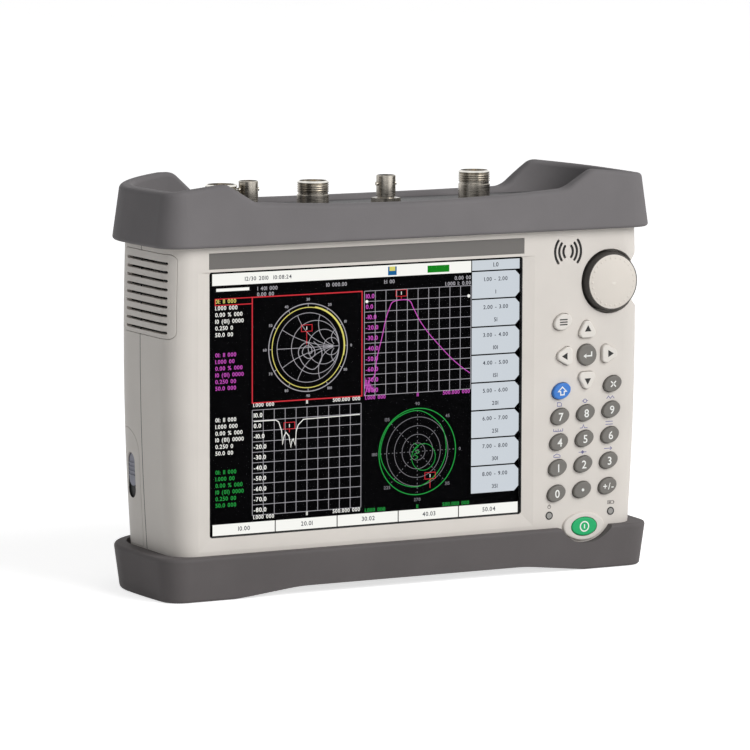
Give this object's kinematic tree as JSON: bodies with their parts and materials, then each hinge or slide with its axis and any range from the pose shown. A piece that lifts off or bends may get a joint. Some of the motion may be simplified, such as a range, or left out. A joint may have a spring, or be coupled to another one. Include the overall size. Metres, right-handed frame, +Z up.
{
  "type": "handheld vector network analyzer",
  "caption": "Handheld vector network analyzer: pale case between rubber bumpers, wide screen beside a keypad and jog knob, coaxial ports in a trough on top.",
  "frame": {"origin": "middle of the underside, on the table between the feet", "axes": "+Z up, the screen faces -Y, +X to the right of someone who reads the screen"},
  "size_m": [0.2744, 0.0876, 0.2005],
  "materials": {
    "case_plastic": "fine texture, warm off-white",
    "bumper_rubber": "satin, mid grey",
    "lower_rubber": "satin, darker grey",
    "window_glass": "clear, lightly coated",
    "black_rubber": "matt",
    "display_panel": "gloss black",
    "strip_grey": "satin grey",
    "key_grey": "matt silicone",
    "key_white": "matt silicone",
    "key_blue": "matt silicone",
    "key_green": "matt silicone",
    "light_lens": "clear lens",
    "board_green": "solder mask",
    "membrane_rubber": "matt silicone",
    "knob_rubber": "satin",
    "knob_face": "satin off-white",
    "steel": "plain",
    "encoder_grey": "matt",
    "speaker_black": "matt",
    "shield_metal": "milled",
    "lead_copper": "bare",
    "nickel": "bright nickel plate",
    "socket_plastic": "natural white",
    "contact_gold": "gold plate",
    "panel_metal": "dark satin paint",
    "fan_black": "matt",
    "battery_dark": "matt",
    "latch_grey": "satin",
    "bail_grey": "satin"
  },
  "bodies": {
    "case": {"bail_pins": "steel", "battery_pack": "battery_dark", "bnc_socket_bodies": "nickel", "bnc_socket_contacts": "contact_gold", "bnc_socket_cores": "socket_plastic", "bnc_socket_nuts": "nickel", "bottom_bumper": "lower_rubber", "case_screws": "steel", "coaxial_leads": "lead_copper", "connector_panel": "panel_metal", "display_gasket": "black_rubber", "display_module": "display_panel", "display_window": "window_glass", "encoder_body": "encoder_grey", "encoder_nut": "steel", "fan_frame": "fan_black", "front_case": "case_plastic", "keypad_board": "board_green", "keypad_membrane": "membrane_rubber", "main_board": "board_green", "n_socket_bodies": "nickel", "n_socket_contacts": "contact_gold", "n_socket_cores": "socket_plastic", "n_socket_nuts": "nickel", "name_strip": "strip_grey", "radio_module": "shield_metal", "rear_case": "case_plastic", "speaker": "speaker_black", "status_lights": "light_lens", "top_bumper": "bumper_rubber", "vent_grille": "case_plastic"},
    "knob": {"knob_cap": "knob_face", "knob_grip": "knob_rubber", "knob_shaft": "steel"},
    "fan_rotor": {"fan_rotor": "fan_black"},
    "battery_door": {"battery_door": "case_plastic"},
    "battery_latch": {"battery_latch": "latch_grey"},
    "tilt_bail": {"tilt_bail": "bail_grey"},
    "decimal_point_key": {"decimal_point_key": "key_grey"},
    "digit_0_key": {"digit_0_key": "key_grey"},
    "digit_1_key": {"digit_1_key": "key_grey"},
    "digit_2_key": {"digit_2_key": "key_grey"},
    "digit_3_key": {"digit_3_key": "key_grey"},
    "digit_4_key": {"digit_4_key": "key_grey"},
    "digit_5_key": {"digit_5_key": "key_grey"},
    "digit_6_key": {"digit_6_key": "key_grey"},
    "digit_7_key": {"digit_7_key": "key_grey"},
    "digit_8_key": {"digit_8_key": "key_grey"},
    "digit_9_key": {"digit_9_key": "key_grey"},
    "down_arrow_key": {"down_arrow_key": "key_white"},
    "enter_key": {"enter_key": "key_grey"},
    "escape_key": {"escape_key": "key_grey"},
    "left_arrow_key": {"left_arrow_key": "key_white"},
    "menu_key": {"menu_key": "key_white"},
    "plus_minus_key": {"plus_minus_key": "key_grey"},
    "power_key": {"power_key": "key_green"},
    "right_arrow_key": {"right_arrow_key": "key_white"},
    "shift_key": {"shift_key": "key_blue"},
    "up_arrow_key": {"up_arrow_key": "key_white"}
  },
  "joints": [
    {"name": "decimal_point_key_press", "type": "slide", "parent": "case", "child": "decimal_point_key", "axis": [0, 1, 0], "range_m": [0, 0.0012], "stiffness_N_per_m": 900},
    {"name": "digit_0_key_press", "type": "slide", "parent": "case", "child": "digit_0_key", "axis": [0, 1, 0], "range_m": [0, 0.0012], "stiffness_N_per_m": 900},
    {"name": "digit_1_key_press", "type": "slide", "parent": "case", "child": "digit_1_key", "axis": [0, 1, 0], "range_m": [0, 0.0012], "stiffness_N_per_m": 900},
    {"name": "digit_2_key_press", "type": "slide", "parent": "case", "child": "digit_2_key", "axis": [0, 1, 0], "range_m": [0, 0.0012], "stiffness_N_per_m": 900},
    {"name": "digit_3_key_press", "type": "slide", "parent": "case", "child": "digit_3_key", "axis": [0, 1, 0], "range_m": [0, 0.0012], "stiffness_N_per_m": 900},
    {"name": "digit_4_key_press", "type": "slide", "parent": "case", "child": "digit_4_key", "axis": [0, 1, 0], "range_m": [0, 0.0012], "stiffness_N_per_m": 900},
    {"name": "digit_5_key_press", "type": "slide", "parent": "case", "child": "digit_5_key", "axis": [0, 1, 0], "range_m": [0, 0.0012], "stiffness_N_per_m": 900},
    {"name": "digit_6_key_press", "type": "slide", "parent": "case", "child": "digit_6_key", "axis": [0, 1, 0], "range_m": [0, 0.0012], "stiffness_N_per_m": 900},
    {"name": "digit_7_key_press", "type": "slide", "parent": "case", "child": "digit_7_key", "axis": [0, 1, 0], "range_m": [0, 0.0012], "stiffness_N_per_m": 900},
    {"name": "digit_8_key_press", "type": "slide", "parent": "case", "child": "digit_8_key", "axis": [0, 1, 0], "range_m": [0, 0.0012], "stiffness_N_per_m": 900},
    {"name": "digit_9_key_press", "type": "slide", "parent": "case", "child": "digit_9_key", "axis": [0, 1, 0], "range_m": [0, 0.0012], "stiffness_N_per_m": 900},
    {"name": "down_arrow_key_press", "type": "slide", "parent": "case", "child": "down_arrow_key", "axis": [0, 1, 0], "range_m": [0, 0.0012], "stiffness_N_per_m": 900},
    {"name": "enter_key_press", "type": "slide", "parent": "case", "child": "enter_key", "axis": [0, 1, 0], "range_m": [0, 0.0012], "stiffness_N_per_m": 900},
    {"name": "escape_key_press", "type": "slide", "parent": "case", "child": "escape_key", "axis": [0, 1, 0], "range_m": [0, 0.0012], "stiffness_N_per_m": 900},
    {"name": "left_arrow_key_press", "type": "slide", "parent": "case", "child": "left_arrow_key", "axis": [0, 1, 0], "range_m": [0, 0.0012], "stiffness_N_per_m": 900},
    {"name": "menu_key_press", "type": "slide", "parent": "case", "child": "menu_key", "axis": [0, 1, 0], "range_m": [0, 0.0012], "stiffness_N_per_m": 900},
    {"name": "plus_minus_key_press", "type": "slide", "parent": "case", "child": "plus_minus_key", "axis": [0, 1, 0], "range_m": [0, 0.0012], "stiffness_N_per_m": 900},
    {"name": "power_key_press", "type": "slide", "parent": "case", "child": "power_key", "axis": [0, 1, 0], "range_m": [0, 0.0012], "stiffness_N_per_m": 900},
    {"name": "right_arrow_key_press", "type": "slide", "parent": "case", "child": "right_arrow_key", "axis": [0, 1, 0], "range_m": [0, 0.0012], "stiffness_N_per_m": 900},
    {"name": "shift_key_press", "type": "slide", "parent": "case", "child": "shift_key", "axis": [0, 1, 0], "range_m": [0, 0.0012], "stiffness_N_per_m": 900},
    {"name": "up_arrow_key_press", "type": "slide", "parent": "case", "child": "up_arrow_key", "axis": [0, 1, 0], "range_m": [0, 0.0012], "stiffness_N_per_m": 900},
    {"name": "knob_turn", "type": "hinge", "parent": "case", "child": "knob", "pos_m": [0.11135, -0.039, 0.1441], "axis": [0, -1, 0], "continuous": true},
    {"name": "fan_spin", "type": "hinge", "parent": "case", "child": "fan_rotor", "pos_m": [-0.1246, -0.0065, 0.1465], "axis": [1, 0, 0], "continuous": true},
    {"name": "battery_door_pull", "type": "slide", "parent": "case", "child": "battery_door", "axis": [-1, 0, 0], "range_m": [0, 0.03]},
    {"name": "battery_latch_slide", "type": "slide", "parent": "battery_door", "child": "battery_latch", "axis": [0, 0, -1], "range_m": [0, 0.0055], "stiffness_N_per_m": 200},
    {"name": "tilt_bail_swing", "type": "hinge", "parent": "case", "child": "tilt_bail", "pos_m": [0, 0.04145, 0.1515], "axis": [1, 0, 0], "range_deg": [0, 35]}
  ]
}
